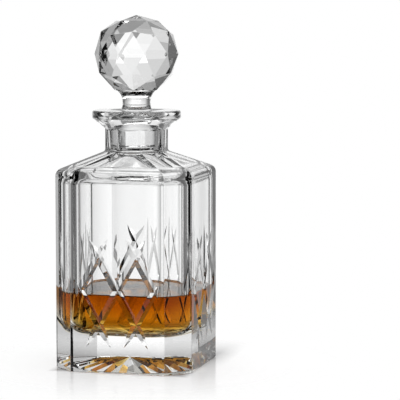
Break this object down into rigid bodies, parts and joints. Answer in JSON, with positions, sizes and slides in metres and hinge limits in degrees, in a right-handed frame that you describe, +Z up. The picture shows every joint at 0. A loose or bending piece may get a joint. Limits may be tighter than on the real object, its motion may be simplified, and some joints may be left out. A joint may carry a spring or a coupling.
{
  "type": "crystal decanter",
  "caption": "Square cut crystal decanter with a diamond mitre-cut lattice on its panels, a faceted ball stopper that lifts out, and amber spirit inside.",
  "frame": {"origin": "centre of the foot, on the surface that the decanter stands on", "axes": "+Z up along the neck and stopper; -Y, +X, +Y and -X are the normals of the cut panels"},
  "size_m": [0.096, 0.096, 0.2401],
  "materials": {
    "crystal_body": "polished",
    "crystal_stopper": "polished",
    "amber_spirit": "gloss"
  },
  "bodies": {
    "bottle": {"decanter_body": "crystal_body", "spirit_fill": "amber_spirit"},
    "stopper_assembly": {"stopper": "crystal_stopper"}
  },
  "joints": [
    {"name": "stopper_lift", "type": "slide", "parent": "bottle", "child": "stopper_assembly", "axis": [0, 0, 1], "range_m": [0, 0.06]}
  ]
}
